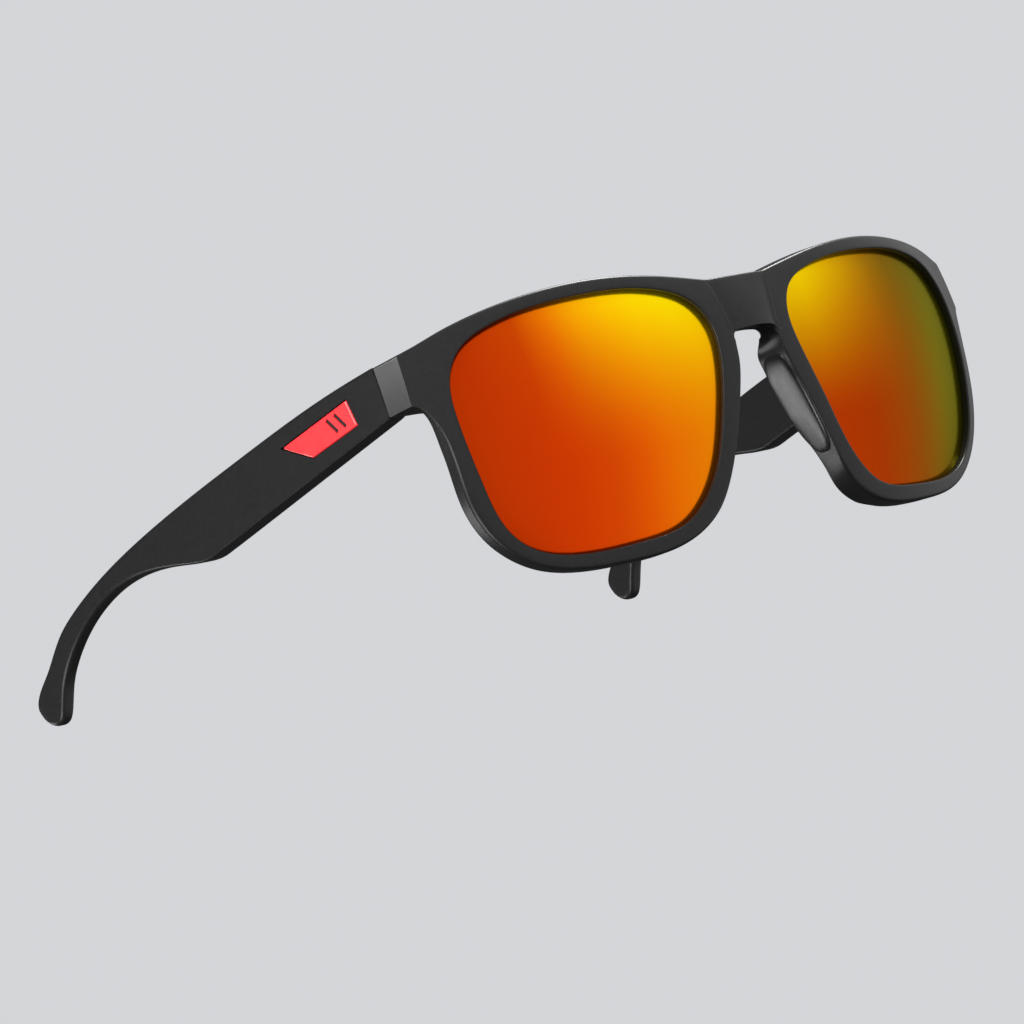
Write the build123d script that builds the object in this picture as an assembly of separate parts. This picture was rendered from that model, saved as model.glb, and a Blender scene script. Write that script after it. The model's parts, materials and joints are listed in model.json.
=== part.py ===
from build123d import *
from math import cos, radians, sin
import os

# Full-rim wrap sunglasses with folding temples, in millimetres.
# +X is the wearer's left, -Y is the way the glasses face, +Z is up.
# Everything is drawn about the point midway between the two lens centres, and moved at
# the end so that the origin is the middle of the underside of the whole object's box.
# Both sides are the same, so one side (+X) is drawn and mirrored.

# ---- wrap: the surface that both lenses and both rims lie on ----
LENS_X = 37.5          # lens centre, each side of the middle
WRAP = 14.3            # degrees each lens faces outwards
BASE_R = 86.0          # radius of the lens front, about a base 6 curve
RIM_PROUD = 1.6        # rim front in front of the lens front
RIM_BACK = 3.0         # rim back behind the lens front
BRIDGE_PROUD = 1.1     # the bridge is set back between its two creases

# ---- lens ----
LENS_T = 2.0
LENS_LAP = 0.9         # lens edge hidden in the rim's groove
FIT_GAP = 0.05         # gap all round a piece seated in another
LENS_OPENING = [       # seen along the lens axis: out towards the temple, up
    (28.2, 5.5), (27.6, 12.4), (24.3, 17.8), (18.5, 20.8), (0.0, 23.1), (-18.7, 21.0),
    (-24.6, 17.9), (-27.6, 12.3), (-27.4, 5.8), (-24.4, -5.2), (-20.5, -14.9), (-17.2, -19.5),
    (-12.8, -23.0), (-2.6, -25.0), (8.0, -25.0), (14.4, -24.0), (20.0, -21.4), (24.0, -16.6),
    (26.5, -8.0),
]

# ---- rim outline, same view ----
RIM_TOP = [(-29.6, 21.7), (-14.0, 24.9), (-1.0, 25.9), (12.0, 25.1), (24.0, 22.9), (35.3, 19.5)]
RIM_CORNER_LOW = (35.5, 9.6)
RIM_SIDE = [
    (34.1, 8.7), (32.9, 7.0), (31.7, 3.4), (30.9, -1.5), (29.8, -11.0), (26.8, -18.2),
    (23.3, -22.2), (18.2, -25.6), (10.0, -27.8), (1.0, -28.3), (-9.6, -27.6), (-16.0, -25.3),
    (-20.8, -21.4), (-24.0, -16.0), (-27.6, -7.5), (-30.5, 0.6), (-31.6, 4.5),
]
RIM_CREASE_LOW = (-32.2, 10.5)

# ---- bridge, seen from the front ----
BRIDGE_HALF = 8.5
BRIDGE_TOP = 21.7
BRIDGE_ARCH = 11.0     # height of the arch over the nose
ARCH_HALF = 4.6
ARCH_DROP = 0.8
BRIDGE_FOOT = 6.5      # where the arch runs out into the rims

# ---- nose pads ----
PAD_EDGE = [(5.6, 5.2), (6.9, 0.6), (8.4, -3.2), (10.0, -7.5), (12.6, -12.4)]
PAD_T = 1.6
PAD_FRONT = -1.6
PAD_DEPTH = 9.0
PAD_FLARE = 8.0        # degrees the pads open towards the face
SUPPORT_T = 2.2
BACK_WALL = 0.6        # plastic left behind the lens and outside its edge
PAD_CUT = 3.0          # the pad's seat is cut this far into the open nose gap
PEG_R = 0.7
PEG_LENGTH = 1.4
PEG_PLACE = 0.6        # how far back along the pad the pegs stand
PEG_HEIGHTS = [0.0, -8.0]

# ---- end pieces ----
CORNER = (69.8, 16.1)          # plan: front edge of the end piece's facet
FACET_END = (72.45, 21.1)      # plan: facet meets the temple's outer face
BLOCK_IN = 64.8                # inner wall of the end piece
PARTING_Y = 20.9               # where front and temple part, at hinge height
PARTING_Z = 13.4
PARTING_LEAN = 8.0             # degrees the parting line leans back
PARTING_GAP = 0.10
TOP_AT_CORNER = 19.5
BOTTOM_AT_CORNER = 9.5
TOP_FALL = 9.2                 # degrees the top falls towards the ear
BOTTOM_FALL = 13.0
BLOCK_PAST = 6.0               # the block is drawn this far behind its facet, then cut
BLOCK_AHEAD = 4.0              # and this far in front of its corner, inside the rim
BLOCK_STEP = 0.8               # its front face sits this far in front of the corner
REGION_IN = 22.5
REGION_LOW = 5.0
REGION_HIGH = 22.0

# ---- hinge ----
HINGE_X = 66.6
HINGE_Y = PARTING_Y
KNUCKLE_R = 1.6
NOTCH_R = 1.85
STEP_PAST = 0.4
STEP_BACK = 0.2
HINGE_LOW = 10.0
HINGE_HIGH = 17.4
MIDDLE_LOW = 12.35
MIDDLE_HIGH = 15.05
KNUCKLE_GAP = 0.05
SCREW_R = 0.70
BORE_R = 0.74
SCREW_HEAD_R = 1.25
SCREW_HEAD_H = 0.7
TANG_T = 1.2
TANG_FRONT = 16.6
TANG_SHORT = 0.5       # the tang ends inside the knuckles, this far before the axis
NECK_IN = 0.7
NECK_LENGTH = 3.0      # from the axis back along the temple
LEAF_START = 2.4
DRIVE_W = 0.3          # the screwdriver slot in the pivot screw's head
DRIVE_DEPTH = 0.3
LEAF_T = 0.8
LEAF_END = 32.5
LEAF_LOW = 10.2
LEAF_HIGH = 16.2
FIXING_R = 0.5
FIXING_HEAD_R = 0.9
FIXING_HEAD_H = 0.45
FRONT_FIXING_L = 5.0
TEMPLE_FIXING_L = 3.2
FRONT_FIXINGS = [(19.0, 11.6), (19.0, 15.8)]       # plan depth and height of each screw
TEMPLE_FIXINGS = [(25.4, 13.2), (29.6, 13.2)]

# ---- temples ----
SPLAY = 3.2                    # degrees each temple opens outwards
TEMPLE_OUT = 5.7               # outer face, out from the hinge axis
TEMPLE_T = 4.6
TEMPLE_THIN = 1.3              # taken off the inner face by the ear end
THIN_FROM = 88.0
THIN_TO = 160.0
TEMPLE_TOP = [
    (18.0, 19.2), (36.0, 17.2), (72.0, 11.1), (99.0, 5.8), (121.0, 0.4), (133.0, -3.6),
    (140.0, -6.5), (145.8, -9.6), (150.0, -12.9), (154.5, -16.8), (159.6, -20.9),
]
TEMPLE_TIP = [(160.9, -23.4), (158.4, -27.0), (155.2, -28.3)]
TEMPLE_UNDER = [
    (153.1, -27.9), (151.4, -25.8), (149.0, -21.2), (144.7, -16.3), (138.5, -11.7), (130.0, -7.5),
    (121.0, -4.9), (112.0, -3.9), (103.0, -4.2), (95.5, -5.0), (91.0, -5.5),
]
TEMPLE_BEND = (87.0, -5.5)     # middle of the turn from the lower edge to the straight one
TEMPLE_CORNER = (83.5, -4.8)   # where the straight lower edge ends
TEMPLE_FOOT = (18.0, 8.8)

# ---- inlaid badge on each temple ----
BADGE = [(55.1, 10.3), (32.0, 14.7), (30.3, 9.4), (46.2, 6.5)]
BADGE_DEPTH = 0.8
BADGE_PROUD = 0.15
BADGE_GAP = 0.08
BADGE_BEVEL = 0.2
STUD_R = 0.8
STUD_LENGTH = 1.2
STUDS = [(35.5, 11.3), (45.0, 9.4)]

BEYOND = 1.0           # how far a cut runs out past the face it starts from
FAR = 60.0             # longer than anything it cuts

wrap_x = LENS_X - BASE_R * sin(radians(WRAP))
wrap_y = BASE_R * cos(radians(WRAP))
lens_axis = (sin(radians(WRAP)), -cos(radians(WRAP)), 0)
lens_across = (cos(radians(WRAP)), sin(radians(WRAP)), 0)
LENS_PLANE = Plane(origin=(LENS_X, 0, 0), x_dir=lens_across, z_dir=lens_axis)
FRONT_PLANE = Plane(origin=(0, 0, 0), x_dir=(1, 0, 0), z_dir=(0, -1, 0))
SIDE_PLANE = Plane(origin=(0, 0, 0), x_dir=(0, 1, 0), z_dir=(1, 0, 0))
OUTWARD = (1, 0, 0)
temple_out_x = HINGE_X + TEMPLE_OUT
temple_in_x = temple_out_x - TEMPLE_T


def box_between(low, high):
    size = [b - a for a, b in zip(low, high)]
    middle = [(a + b) / 2 for a, b in zip(low, high)]
    return Pos(*middle) * Box(*size)


def rod(radius, start, length, direction):
    return extrude(Plane(origin=start, z_dir=direction) * Circle(radius), length)


def upright(x, y, radius, low, high):
    return rod(radius, (x, y, low), high - low, (0, 0, 1))


def outset(points, gap):
    """Moves each point of a closed anticlockwise outline outwards by gap."""
    moved = []
    for i, (u, v) in enumerate(points):
        before = Vector(*points[i - 1])
        after = Vector(*points[(i + 1) % len(points)])
        along = (after - before).normalized()
        moved.append((u + gap * along.Y, v - gap * along.X))
    return moved


def wrap_solid(radius):
    """A round-ended bar across the face: every lens and rim surface is a copy of it."""
    left = (-wrap_x, wrap_y - radius)
    right = (wrap_x, wrap_y - radius)
    bend = radius * sin(radians(45))
    outline = Wire([
        Edge.make_line((-wrap_x - radius, wrap_y), (wrap_x + radius, wrap_y)),
        Edge.make_three_point_arc((wrap_x + radius, wrap_y), (wrap_x + bend, wrap_y - bend), right),
        Edge.make_line(right, left),
        Edge.make_three_point_arc(left, (-wrap_x - bend, wrap_y - bend), (-wrap_x - radius, wrap_y)),
    ])
    return revolve(Face(outline), Axis((0, wrap_y, 0), (1, 0, 0)))


def wrap_shell(front, back):
    return wrap_solid(BASE_R + front) - wrap_solid(BASE_R - back)


def through(plane, face, reach=FAR / 2):
    """The face, drawn in a plane, run both ways along the plane's normal."""
    return extrude(plane * face, amount=reach, both=True)


def closed_spline(points):
    return Face(Wire([Edge.make_spline([Vector(*p) for p in points], periodic=True)]))


def lens_window(gap):
    return through(LENS_PLANE, closed_spline(outset(LENS_OPENING, gap)))


def lens():
    return wrap_shell(0, LENS_T) & lens_window(LENS_LAP)


def lens_groove():
    return wrap_shell(FIT_GAP, LENS_T + FIT_GAP) & lens_window(LENS_LAP + FIT_GAP)


def open_spline(points):
    return Edge.make_spline([Vector(*p) for p in points])


def straight(start, end):
    return Edge.make_line(start, end)


def rim():
    side = [RIM_CORNER_LOW] + RIM_SIDE + [RIM_CREASE_LOW]
    outline = Wire([
        open_spline(RIM_TOP),
        straight(RIM_TOP[-1], RIM_CORNER_LOW),
        open_spline(side),
        straight(RIM_CREASE_LOW, RIM_TOP[0]),
    ])
    return wrap_shell(RIM_PROUD, RIM_BACK) & through(LENS_PLANE, Face(outline))


def bridge():
    foot = (BRIDGE_HALF, BRIDGE_FOOT)
    shoulder = (ARCH_HALF, BRIDGE_ARCH - ARCH_DROP)
    mirrored = (-ARCH_HALF, BRIDGE_ARCH - ARCH_DROP)
    far_foot = (-BRIDGE_HALF, BRIDGE_FOOT)
    outline = Wire([
        straight((-BRIDGE_HALF, BRIDGE_TOP), (BRIDGE_HALF, BRIDGE_TOP)),
        straight((BRIDGE_HALF, BRIDGE_TOP), foot),
        straight(foot, shoulder),
        Edge.make_three_point_arc(shoulder, (0, BRIDGE_ARCH), mirrored),
        straight(mirrored, far_foot),
        straight(far_foot, (-BRIDGE_HALF, BRIDGE_TOP)),
    ])
    return wrap_shell(BRIDGE_PROUD, RIM_BACK) & through(FRONT_PLANE, Face(outline))


def pad_slab(inner, outer):
    """A curved slab that follows the nose, from inner to outer beyond the pad's edge line."""
    near = [(x + inner, z) for x, z in PAD_EDGE]
    far = [(x + outer, z) for x, z in PAD_EDGE]
    outline = Wire([
        open_spline(near),
        straight(near[-1], far[-1]),
        open_spline(far),
        straight(far[0], near[0]),
    ])
    spread = Plane(origin=(0, PAD_FRONT, 0), x_dir=(1, 0, 0), z_dir=(0, -1, 0))
    flare = Vector(sin(radians(PAD_FLARE)), cos(radians(PAD_FLARE)), 0)
    return extrude(spread * Face(outline), amount=PAD_DEPTH, dir=flare)


def pad_edge_x(height):
    for (x0, z0), (x1, z1) in zip(PAD_EDGE, PAD_EDGE[1:]):
        if z0 >= height >= z1:
            return x0 + (x1 - x0) * (z0 - height) / (z0 - z1)


def pad_pegs(radius, length):
    depth = PAD_FRONT + PEG_PLACE * PAD_DEPTH
    drift = PEG_PLACE * PAD_DEPTH * sin(radians(PAD_FLARE))
    return [
        rod(radius, (pad_edge_x(z) + drift + 0.5 * PAD_T, depth, z), length + 0.5 * PAD_T, (1, 0, 0))
        for z in PEG_HEIGHTS
    ]


def lens_wall():
    """The lens and the plastic round its edge, which the pad and its support stop at."""
    return wrap_shell(FAR / 4, LENS_T + BACK_WALL) & lens_window(LENS_LAP + BACK_WALL)


def nose_pad():
    pad = pad_slab(0, PAD_T) - lens_wall()
    for peg in pad_pegs(PEG_R, PEG_LENGTH):
        pad += peg
    return pad


def nose_pad_room():
    room = pad_slab(-PAD_CUT, PAD_T + FIT_GAP) - lens_wall()
    for peg in pad_pegs(PEG_R + FIT_GAP, PEG_LENGTH + FIT_GAP):
        room += peg
    return room


def pad_support():
    return pad_slab(PAD_T, PAD_T + SUPPORT_T) - lens_wall()


def behind_parting(gap):
    """Everything behind the leaning line where front and temple part."""
    lean = Plane(
        origin=(HINGE_X, PARTING_Y + gap, PARTING_Z),
        x_dir=(1, 0, 0),
        z_dir=(0, cos(radians(PARTING_LEAN)), -sin(radians(PARTING_LEAN))),
    )
    return extrude(lean * Rectangle(FAR, 2 * FAR), FAR * 4)


def end_piece():
    run = FACET_END[1] - CORNER[1] + BLOCK_PAST
    ahead = CORNER[1] - BLOCK_AHEAD
    top_end = (CORNER[1] + run, TOP_AT_CORNER - run * sin(radians(TOP_FALL)))
    bottom_end = (CORNER[1] + run, BOTTOM_AT_CORNER - run * sin(radians(BOTTOM_FALL)))
    side = Polyline(
        (ahead, TOP_AT_CORNER), (CORNER[1], TOP_AT_CORNER), top_end,
        bottom_end, (CORNER[1], BOTTOM_AT_CORNER), (ahead, BOTTOM_AT_CORNER), close=True,
    )
    plan = Polyline(
        (BLOCK_IN, CORNER[1] - BLOCK_STEP), (CORNER[0] - 2, CORNER[1] - BLOCK_STEP), CORNER,
        FACET_END, (FACET_END[0], CORNER[1] + run), (BLOCK_IN, CORNER[1] + run), close=True,
    )
    block = extrude(make_face(plan), FAR, both=True) & extrude(SIDE_PLANE * make_face(side), FAR * 2)
    return block - behind_parting(0)


def end_region():
    """The part of the front frame that the hinge's cuts may reach."""
    return box_between((LENS_X + REGION_IN, 0, REGION_LOW), (FAR * 2, FAR * 2, REGION_HIGH))


def hinge_notch():
    notch = upright(HINGE_X, HINGE_Y, NOTCH_R, 0, FAR)
    step_out = HINGE_X + NOTCH_R + STEP_PAST
    inner_step = box_between((0, HINGE_Y - STEP_BACK, 0), (step_out, HINGE_Y + FAR, FAR))
    return notch, inner_step


def tang(gap):
    return box_between(
        (HINGE_X - TANG_T / 2 - gap, TANG_FRONT - gap, HINGE_LOW - gap),
        (HINGE_X + TANG_T / 2 + gap, HINGE_Y - TANG_SHORT, HINGE_HIGH + gap),
    )


def fixings(places, head_x, length, gap, head_gap=0.0):
    screws = []
    for y, z in places:
        head = rod(FIXING_HEAD_R + head_gap, (head_x, y, z), FIXING_HEAD_H + gap, (1, 0, 0))
        screws.append(head + rod(FIXING_R + gap, (head_x, y, z), length, (1, 0, 0)))
    return screws


def front_fixings():
    return fixings(FRONT_FIXINGS, BLOCK_IN, FRONT_FIXING_L, 0.0)


def temple_fixings():
    return fixings(TEMPLE_FIXINGS, temple_in_x, TEMPLE_FIXING_L, 0.0)


def front_hinge():
    low = upright(HINGE_X, HINGE_Y, KNUCKLE_R, HINGE_LOW, MIDDLE_LOW - KNUCKLE_GAP)
    high = upright(HINGE_X, HINGE_Y, KNUCKLE_R, MIDDLE_HIGH + KNUCKLE_GAP, HINGE_HIGH)
    room = upright(HINGE_X, HINGE_Y, NOTCH_R, MIDDLE_LOW - KNUCKLE_GAP, MIDDLE_HIGH + KNUCKLE_GAP)
    leaf = tang(0) - room + low + high
    leaf -= upright(HINGE_X, HINGE_Y, BORE_R, 0, FAR)
    for hole in fixings(FRONT_FIXINGS, BLOCK_IN, FRONT_FIXING_L, FIT_GAP):
        leaf -= hole
    return leaf


def hinge_screw():
    shank = upright(HINGE_X, HINGE_Y, SCREW_R, HINGE_LOW, HINGE_HIGH)
    head = upright(HINGE_X, HINGE_Y, SCREW_HEAD_R, HINGE_HIGH, HINGE_HIGH + SCREW_HEAD_H)
    head_top = HINGE_HIGH + SCREW_HEAD_H
    slot = box_between(
        (HINGE_X - SCREW_HEAD_R, HINGE_Y - DRIVE_W / 2, head_top - DRIVE_DEPTH),
        (HINGE_X + SCREW_HEAD_R, HINGE_Y + DRIVE_W / 2, head_top + BEYOND),
    )
    return shank + head - slot


def temple_hinge():
    knuckle = upright(HINGE_X, HINGE_Y, KNUCKLE_R, MIDDLE_LOW, MIDDLE_HIGH)
    neck = box_between(
        (temple_in_x - NECK_IN, HINGE_Y, MIDDLE_LOW),
        (temple_in_x + LEAF_T, HINGE_Y + NECK_LENGTH, MIDDLE_HIGH),
    )
    plate = box_between(
        (temple_in_x, HINGE_Y + LEAF_START, LEAF_LOW), (temple_in_x + LEAF_T, LEAF_END, LEAF_HIGH)
    )
    leaf = knuckle + neck + plate
    leaf -= upright(HINGE_X, HINGE_Y, BORE_R, 0, FAR)
    for hole in fixings(TEMPLE_FIXINGS, temple_in_x, TEMPLE_FIXING_L, FIT_GAP, FIT_GAP):
        leaf -= hole
    return leaf


def temple_hinge_room():
    plate = box_between(
        (temple_in_x - BEYOND, HINGE_Y + LEAF_START - FIT_GAP, LEAF_LOW - FIT_GAP),
        (temple_in_x + LEAF_T + FIT_GAP, LEAF_END + FIT_GAP, LEAF_HIGH + FIT_GAP),
    )
    neck = box_between(
        (temple_in_x - BEYOND, HINGE_Y - NECK_LENGTH, MIDDLE_LOW - FIT_GAP),
        (temple_in_x + LEAF_T + FIT_GAP, HINGE_Y + NECK_LENGTH, MIDDLE_HIGH + FIT_GAP),
    )
    return plate, neck


def temple_profile():
    tip = [TEMPLE_TOP[-1]] + TEMPLE_TIP + [TEMPLE_UNDER[0]]
    outline = Wire([
        open_spline(TEMPLE_TOP),
        open_spline(tip),
        open_spline(TEMPLE_UNDER),
        Edge.make_three_point_arc(TEMPLE_UNDER[-1], TEMPLE_BEND, TEMPLE_CORNER),
        straight(TEMPLE_CORNER, TEMPLE_FOOT),
        straight(TEMPLE_FOOT, TEMPLE_TOP[0]),
    ])
    return Face(outline)


def badge_outline(gap):
    outline = make_face(Polyline(*BADGE, close=True))
    return offset(outline, gap, kind=Kind.INTERSECTION) if gap else outline


def badge():
    base = temple_out_x - BADGE_DEPTH
    face = Pos(base, 0, 0) * (SIDE_PLANE * badge_outline(0))
    plate = extrude(face, BADGE_DEPTH + BADGE_PROUD, dir=OUTWARD)
    plate = chamfer(plate.faces().sort_by(Axis.X)[-1].edges(), BADGE_BEVEL)
    for y, z in STUDS:
        plate += rod(STUD_R, (base - STUD_LENGTH, y, z), STUD_LENGTH, (1, 0, 0))
    return plate


def badge_room():
    base = temple_out_x - BADGE_DEPTH - FIT_GAP
    face = Pos(base, 0, 0) * (SIDE_PLANE * badge_outline(BADGE_GAP))
    room = extrude(face, BADGE_DEPTH + BEYOND, dir=OUTWARD)
    for y, z in STUDS:
        room += rod(STUD_R + FIT_GAP, (base - STUD_LENGTH, y, z), STUD_LENGTH, (1, 0, 0))
    return room


def thinning():
    """The wedge taken off the inner face towards the ear."""
    reach = 1.5 * (THIN_TO - THIN_FROM)
    plan = Polyline(
        (temple_in_x, THIN_FROM), (temple_in_x + 1.5 * TEMPLE_THIN, THIN_FROM + reach),
        (temple_in_x - BEYOND, THIN_FROM + reach), (temple_in_x - BEYOND, THIN_FROM), close=True,
    )
    return extrude(make_face(plan), FAR, both=True)


def temple():
    profile = Pos(temple_in_x, 0, 0) * (SIDE_PLANE * temple_profile())
    arm = extrude(profile, TEMPLE_T, dir=OUTWARD)
    arm -= thinning()
    arm -= badge_room()
    for room in temple_hinge_room():
        arm -= room
    for hole in temple_fixings():
        arm -= hole
    arm = splayed(arm) & behind_parting(PARTING_GAP)
    return arm - hinge_notch()[0]


def splayed(shape):
    """Turned outwards about the hinge axis, as the temples stand when open."""
    return Pos(HINGE_X, HINGE_Y, 0) * Rot(0, 0, -SPLAY) * Pos(-HINGE_X, -HINGE_Y, 0) * shape


def front_half():
    notch, inner_step = hinge_notch()
    half = rim() + end_piece() + pad_support()
    half -= behind_parting(0) & end_region()
    half -= nose_pad_room()
    half -= notch
    half -= inner_step & end_region()
    half -= tang(FIT_GAP)
    for hole in front_fixings():
        half -= hole
    return half


def front_frame():
    half = front_half()
    frame = half + mirror(half, about=Plane.YZ) + bridge()
    for cut in (lens_window(0), lens_groove()):
        frame = frame - cut - mirror(cut, about=Plane.YZ)
    return frame


def temple_screws():
    return Compound(children=[splayed(s) for s in temple_fixings()])


def front_screws():
    return Compound(children=front_fixings())


def left_side():
    return {
        "lens": lens(),
        "nose_pad": nose_pad(),
        "front_hinge": front_hinge(),
        "front_hinge_screws": front_screws(),
        "hinge_screw": hinge_screw(),
        "temple": temple(),
        "temple_hinge": splayed(temple_hinge()),
        "temple_hinge_screws": temple_screws(),
        "badge": splayed(badge()),
    }


def all_nodes():
    nodes = {"front_frame": front_frame()}
    for name, shape in left_side().items():
        nodes[name + "_left"] = shape
        nodes[name + "_right"] = mirror(shape, about=Plane.YZ)
    return nodes


def write_parts(nodes):
    os.makedirs("parts", exist_ok=True)
    box = Compound(children=[Compound(n.solids()) for n in nodes.values()]).bounding_box()
    back, up = -(box.min.Y + box.max.Y) / 2, -box.min.Z
    to_origin = Pos(0, back, up)
    for name, shape in nodes.items():
        export_step(to_origin * Compound(shape.solids()), "parts/" + name + ".step")
    print("moved by y", back, "z", up)


write_parts(all_nodes())
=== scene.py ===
import json
from math import cos, pi, radians, sin, tan

import bmesh
import bpy
import numpy as np
from mathutils import Matrix, Vector


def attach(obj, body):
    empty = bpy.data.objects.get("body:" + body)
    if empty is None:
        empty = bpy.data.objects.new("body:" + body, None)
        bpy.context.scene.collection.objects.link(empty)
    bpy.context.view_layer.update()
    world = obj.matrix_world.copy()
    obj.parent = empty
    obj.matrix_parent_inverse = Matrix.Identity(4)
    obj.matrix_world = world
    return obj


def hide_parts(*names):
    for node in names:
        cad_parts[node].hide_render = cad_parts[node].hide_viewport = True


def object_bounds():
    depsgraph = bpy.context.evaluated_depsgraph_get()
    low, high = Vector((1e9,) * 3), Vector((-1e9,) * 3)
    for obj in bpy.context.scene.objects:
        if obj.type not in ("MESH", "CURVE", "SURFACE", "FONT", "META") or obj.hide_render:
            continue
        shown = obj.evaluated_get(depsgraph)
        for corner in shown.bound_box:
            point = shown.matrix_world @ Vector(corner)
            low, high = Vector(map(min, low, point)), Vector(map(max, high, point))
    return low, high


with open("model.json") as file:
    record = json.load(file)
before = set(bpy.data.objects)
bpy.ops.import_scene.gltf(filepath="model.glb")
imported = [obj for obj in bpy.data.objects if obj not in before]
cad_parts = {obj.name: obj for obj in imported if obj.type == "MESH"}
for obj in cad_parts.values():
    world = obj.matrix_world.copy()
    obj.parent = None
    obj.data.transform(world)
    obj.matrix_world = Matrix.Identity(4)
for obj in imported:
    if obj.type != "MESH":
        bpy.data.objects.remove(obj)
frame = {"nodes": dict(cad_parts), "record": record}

cad_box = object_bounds()

# Sunglasses, drawn in millimetres about the point midway between the lens centres: +X the
# wearer's left, -Y the way they face, +Z up. to_row() takes points to the frame's metres. One
# side (+X) is drawn and mirrored.

# ---- wrap surface ----
LENS_X = 37.5
WRAP = radians(14.3)   # how far each lens is turned outwards
BASE_R = 86.0          # radius of the lens's front
RIM_PROUD = 1.6        # rim's front and back, from the lens's front
RIM_BACK = -3.0
LENS_T = 2.0
LENS_LAP = 0.9         # how far the lens reaches under the rim
GROOVE = 0.95          # depth of the groove that holds the lens
GROOVE_GAP = 0.03
FACE_CROWN = 0.05      # how far the rim's front face bulges
FACE_CROWN_WIDTH = 4.0  # and the width from which it bulges fully
INNER_SET_BACK = 0.12  # how far the face lies back along the lens opening

# ---- outlines seen along the lens axis: out towards the temple, up ----
LENS_OPENING = [
    (28.2, 5.5), (27.6, 12.4), (24.3, 17.8), (18.5, 20.8), (0.0, 23.1), (-18.7, 21.0),
    (-24.6, 17.9), (-27.6, 12.3), (-27.4, 5.8), (-24.4, -5.2), (-20.5, -14.9), (-17.2, -19.5),
    (-12.8, -23.0), (-2.6, -25.0), (8.0, -25.0), (14.4, -24.0), (20.0, -21.4), (24.0, -16.6),
    (26.5, -8.0),
]
RIM_TOP = [(-29.6, 21.7), (-14.0, 24.9), (-1.0, 25.9), (12.0, 25.1), (24.0, 22.9), (35.3, 19.5)]
RIM_CORNER_LOW = (35.5, 9.6)
RIM_SIDE = [
    (34.1, 8.7), (32.9, 7.0), (31.7, 3.4), (30.9, -1.5), (29.8, -11.0), (26.8, -18.2),
    (23.3, -22.2), (18.2, -25.6), (10.0, -27.8), (1.0, -28.3), (-9.6, -27.6), (-16.0, -25.3),
    (-20.8, -21.4), (-24.0, -16.0), (-27.6, -7.5), (-30.5, 0.6), (-31.6, 4.5),
]
RIM_CREASE_LOW = (-32.0, 9.4)

# ---- edge radii of the rim ----
INNER_EDGE = 0.35
TOP_EDGE = 0.75
CREASE_EDGE = 0.08
FACET_EDGE = 0.25
SIDE_EDGE = 1.35
SIDE_EDGE_Z, SIDE_EDGE_RUN = 8.0, 9.0   # the side's edge starts to broaden here, over this length
NASAL_EDGE = 0.35
NASAL_EDGE_RUN = 12.0
BACK_EDGE = 0.6
LIP_EDGE = 0.3
REAR_EDGE = 0.2
OUTLINE_CORNER = 0.6   # rounding of the end piece's upper and lower edges

# ---- bridge ----
BRIDGE_APEX = 11.0
ARCH_CORNER = 1.5
ARCH_RISE = 0.5        # how much higher the arch is in the middle than beside its corners
BRIDGE_BULGE = 0.55
BULGE_SHAPE = 0.9
BULGE_REACH = 0.6      # share of the bridge's depth, from the front, that bulges
CREASE_DEPTH = 0.45
CREASE_SCALE = 0.385   # how quickly the crease falls away from the rim
CREASE_SHAPE = 1.2
BRIDGE_STEPS = 33

# ---- end pieces and hinge ----
HINGE = (66.6, 20.9, 13.7)
PARTING_Z = 13.4
PARTING_LEAN = radians(8.0)
PARTING_GAP = 0.18
END_IN = 64.95
END_OUT = 72.35
END_TOP = 18.62
END_BOTTOM = 8.37
END_FIRST_U = 31.6     # where the rim's top starts to run back to the temple
END_LAST = (32.9, 7.0)
END_BACK_U = 31.0
END_SEARCH = 40        # stations of the side among which END_LAST is looked for
END_EASE = 12          # share of the end piece, as 1 / END_EASE, over which its back eases in
NEAR_END_U = 25.5      # from here the rim deepens towards the end piece
NEAR_END_LOW = 14      # and over this many stations below it
NOTCH_R = 1.85
STEP_IN, STEP_OUT = 60.0, 68.85
STEP_Y, STEP_BACK = 20.7, 30.0
CUT_LOW, CUT_HIGH = 5.0, 24.0
CYLINDER_STEPS = 48

# ---- nose pads and their supports ----
PAD_EDGE = [(5.6, 5.2), (6.9, 0.6), (8.4, -3.2), (10.0, -7.5), (12.6, -12.4)]
PAD_FRONT = -1.6
PAD_DEPTH = 9.0
PAD_FLARE = radians(8.0)
PAD_SKIN = 0.9
SUPPORT_T = 2.2
SUPPORT_TOP = 9.1
SUPPORT_SHOULDER = 3.2  # height over which the support rises to its full depth
SUPPORT_LOW = -26.0
SUPPORT_TAIL = 16.0    # height over which it sinks back into the rim
SUPPORT_EDGE = 0.5
SUPPORT_SHORT = 0.5    # how much less deep than the pad it is
SUPPORT_BEND = 0.55    # how far the outer wall's bend moves forwards, as a share of the depth
SUPPORT_SLOPE = 0.3    # how much less deep its inner edge is than its outer one
SUPPORT_SPREAD = 5.2   # how far its back spreads over the rim's back, up to SPREAD_MOST
SPREAD_LEAST, SPREAD_MOST, SPREAD_WIDTH = 0.15, 2.9, 4.0
SUPPORT_FADE_TOP, SUPPORT_FADE_LOW = 0.3, 1.5   # past its ends, where the back edge rounds again
SUPPORT_LEAST = 0.02   # a support below this share of full depth is left out
PAD_TOP = 5.6
PAD_LOW = -15.5
PAD_ROWS = 80
PAD_STEPS = 96
PAD_SQUARE = 2 / 3.8   # power that squares the pad's round outline
# The pad's section from its middle to its rim: (share of its half size, mm proud of the support).
PAD_PROFILE = [
    (0.12, 0.7), (0.4, 0.68), (0.62, 0.63), (0.78, 0.55), (0.88, 0.44), (0.94, 0.31), (0.975, 0.15),
    (0.99, 0.0), (1.0, -0.2), (0.98, -0.7), (0.6, -0.7),
]

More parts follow.
